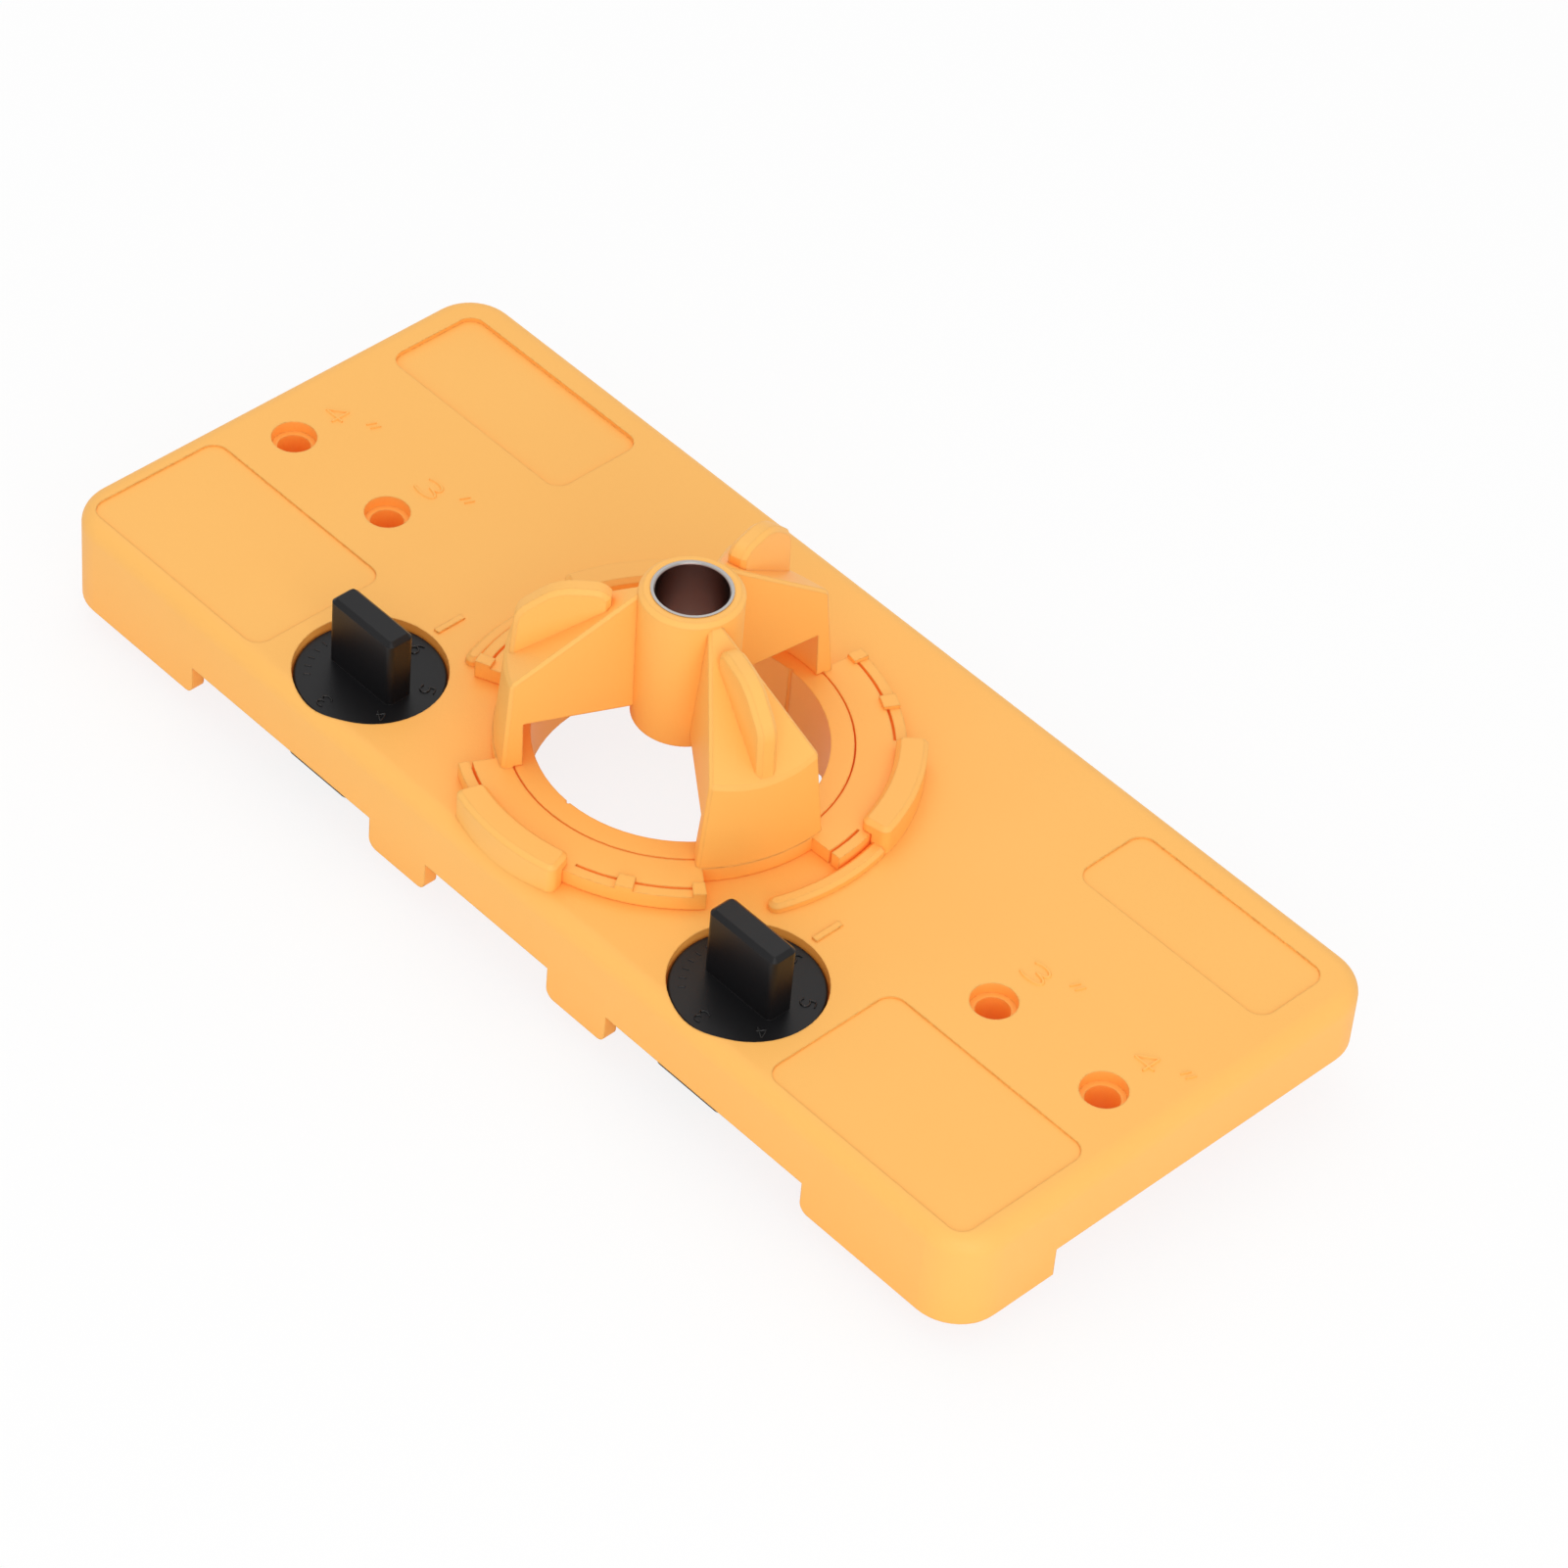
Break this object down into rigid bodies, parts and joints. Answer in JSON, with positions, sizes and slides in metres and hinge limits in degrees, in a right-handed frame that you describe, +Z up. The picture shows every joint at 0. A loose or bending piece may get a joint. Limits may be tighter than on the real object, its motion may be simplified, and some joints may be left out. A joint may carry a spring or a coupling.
{
  "type": "hinge drilling jig",
  "caption": "Moulded hinge-cup drilling jig: flat plate with lip, turning three-legged drill guide with steel bush, and edge-distance selector dials.",
  "frame": {"origin": "on the drilling axis, at the plate's underside, which lies on the door", "axes": "+X along the plate, +Y from the overhanging lip towards the back edge, +Z up through the plate along the drilling axis"},
  "size_m": [0.2274, 0.0962, 0.061],
  "materials": {
    "orange_plastic": "fine moulded texture",
    "black_plastic": "satin",
    "steel": "turned"
  },
  "bodies": {
    "body": {"jig_body": "orange_plastic"},
    "guide": {"drill_guide": "orange_plastic", "guide_bush": "steel"},
    "left_selector": {"left_dial": "black_plastic", "left_cam": "black_plastic", "left_cam_screw": "steel"},
    "right_selector": {"right_dial": "black_plastic", "right_cam": "black_plastic", "right_cam_screw": "steel"}
  },
  "joints": [
    {"name": "guide_twist", "type": "hinge", "parent": "body", "child": "guide", "pos_m": [0, 0, 0.013], "axis": [0, 0, 1], "range_deg": [-13, 46.5]},
    {"name": "left_select", "type": "hinge", "parent": "body", "child": "left_selector", "pos_m": [-0.0475, -0.0282, 0.01], "axis": [0, 0, 1], "continuous": true},
    {"name": "right_select", "type": "hinge", "parent": "body", "child": "right_selector", "pos_m": [0.0475, -0.0282, 0.01], "axis": [0, 0, 1], "continuous": true}
  ]
}
